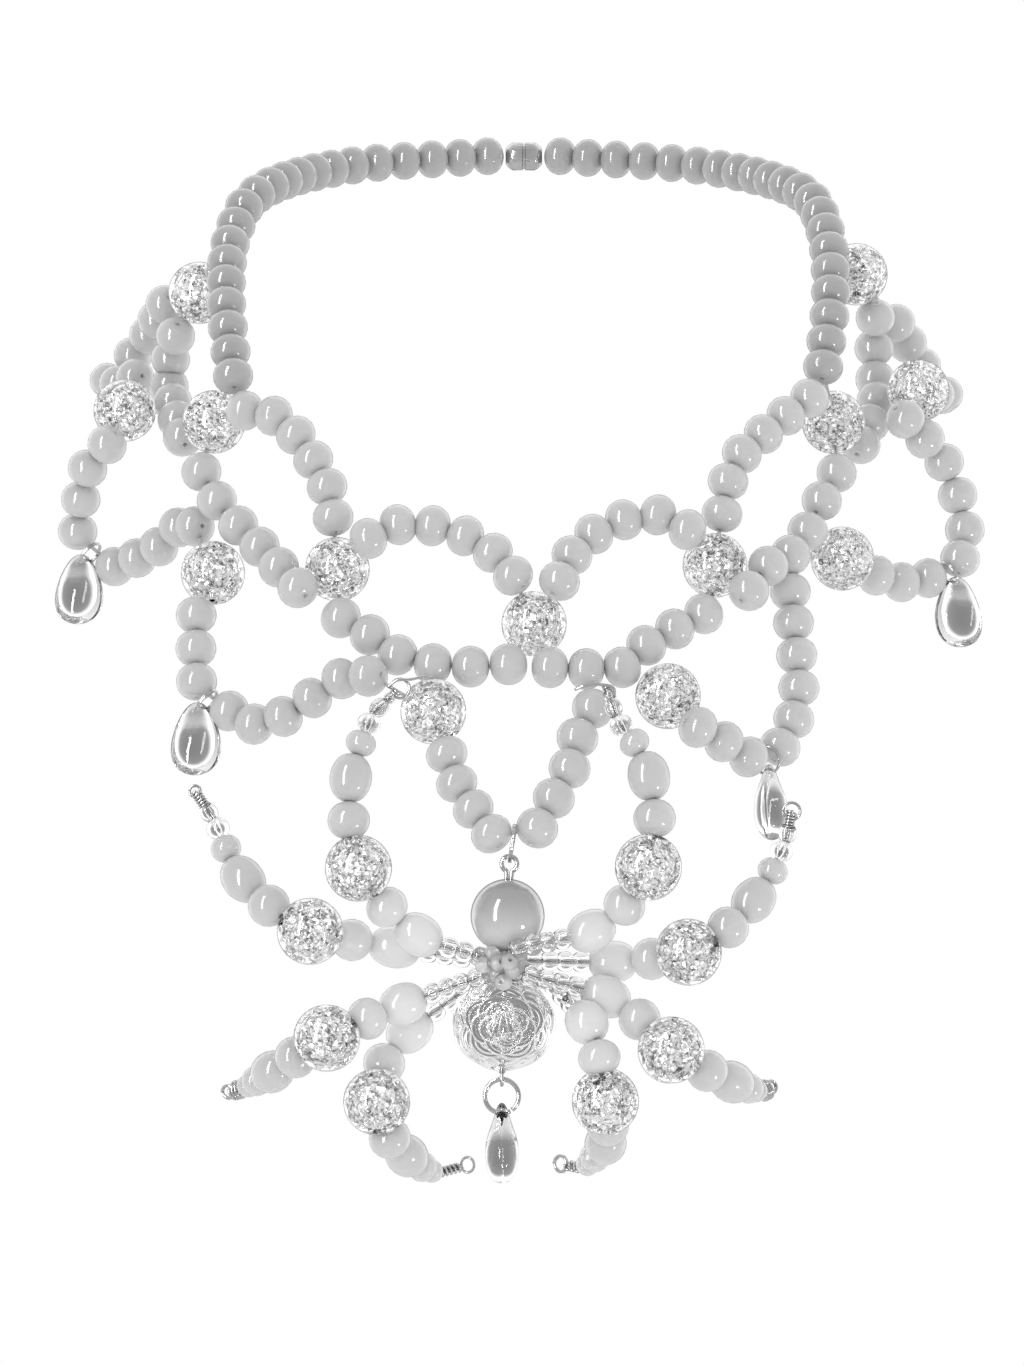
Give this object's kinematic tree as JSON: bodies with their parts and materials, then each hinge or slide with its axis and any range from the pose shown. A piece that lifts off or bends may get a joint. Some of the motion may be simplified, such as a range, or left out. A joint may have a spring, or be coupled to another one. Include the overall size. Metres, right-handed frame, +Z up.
{
  "type": "beaded net choker with spider pendant",
  "caption": "Net choker of milky and crackle glass beads with clear teardrops, and a glass spider pendant that swings on a jump ring.",
  "frame": {"origin": "centre of the neck, level with the side of the neck where the strands lie", "axes": "+Z up along the neck, the wearer faces -Y, +X to the wearer's left"},
  "size_m": [0.1922, 0.159, 0.2181],
  "materials": {
    "milky_glass": "milky translucent pressed glass, smooth and glossy",
    "cats_eye_glass": "grey cat's-eye glass with a pale band, polished",
    "crackle_glass": "clear glass crazed inside, smooth outside",
    "clear_glass": "clear pressed glass, polished",
    "silver": "silver plated wire, bright"
  },
  "bodies": {
    "net": {"crackle_upper_centre": "crackle_glass", "crackle_upper_left": "crackle_glass", "crackle_upper_right": "crackle_glass", "crackle_upper_left_side": "crackle_glass", "crackle_upper_right_side": "crackle_glass", "crackle_upper_left_back": "crackle_glass", "crackle_upper_right_back": "crackle_glass", "crackle_lower_left": "crackle_glass", "crackle_lower_right": "crackle_glass", "crackle_lower_left_side": "crackle_glass", "crackle_lower_right_side": "crackle_glass", "crackle_lower_left_back": "crackle_glass", "crackle_lower_right_back": "crackle_glass", "neck_strand_left": "milky_glass", "neck_strand_right": "milky_glass", "upper_scallop_left": "milky_glass", "upper_scallop_centre_left": "milky_glass", "upper_scallop_centre_right": "milky_glass", "upper_scallop_right": "milky_glass", "middle_scallop_left_back": "milky_glass", "middle_scallop_left": "milky_glass", "middle_scallop_centre_left": "milky_glass", "middle_scallop_centre_right": "milky_glass", "middle_scallop_right": "milky_glass", "middle_scallop_right_back": "milky_glass", "lower_scallop_left_back": "milky_glass", "ring_left_side": "silver", "drop_left_side": "clear_glass", "lower_strand_left_side_down": "milky_glass", "lower_strand_left_side_up": "milky_glass", "ring_left": "silver", "drop_left": "clear_glass", "lower_strand_left_down": "milky_glass", "lower_strand_left_up": "milky_glass", "v_strand_left": "milky_glass", "v_strand_right": "milky_glass", "ring_right": "silver", "drop_right": "clear_glass", "lower_strand_right_down": "milky_glass", "lower_strand_right_up": "milky_glass", "ring_right_side": "silver", "drop_right_side": "clear_glass", "lower_strand_right_side_down": "milky_glass", "lower_strand_right_side_up": "milky_glass", "lower_scallop_right_back": "milky_glass", "clasp": "silver"},
    "link": {"pendant_ring": "silver"},
    "spider": {"eye_pin": "silver", "head_bead": "cats_eye_glass", "rose_bead": "clear_glass", "tail_ring": "silver", "tail_drop": "clear_glass", "leg_left_1": "milky_glass", "leg_left_2": "milky_glass", "leg_left_3": "milky_glass", "leg_left_4": "milky_glass", "leg_right_1": "milky_glass", "leg_right_2": "milky_glass", "leg_right_3": "milky_glass", "leg_right_4": "milky_glass"}
  },
  "joints": [
    {"name": "ring_swing", "type": "hinge", "parent": "net", "child": "link", "pos_m": [-0.00215, -0.0915, -0.10535], "axis": [1, 0, 0], "range_deg": [-15, 15]},
    {"name": "spider_sway", "type": "hinge", "parent": "link", "child": "spider", "pos_m": [-0.0031, -0.0915, -0.11138], "axis": [0, 1, 0], "range_deg": [-12, 12]}
  ]
}
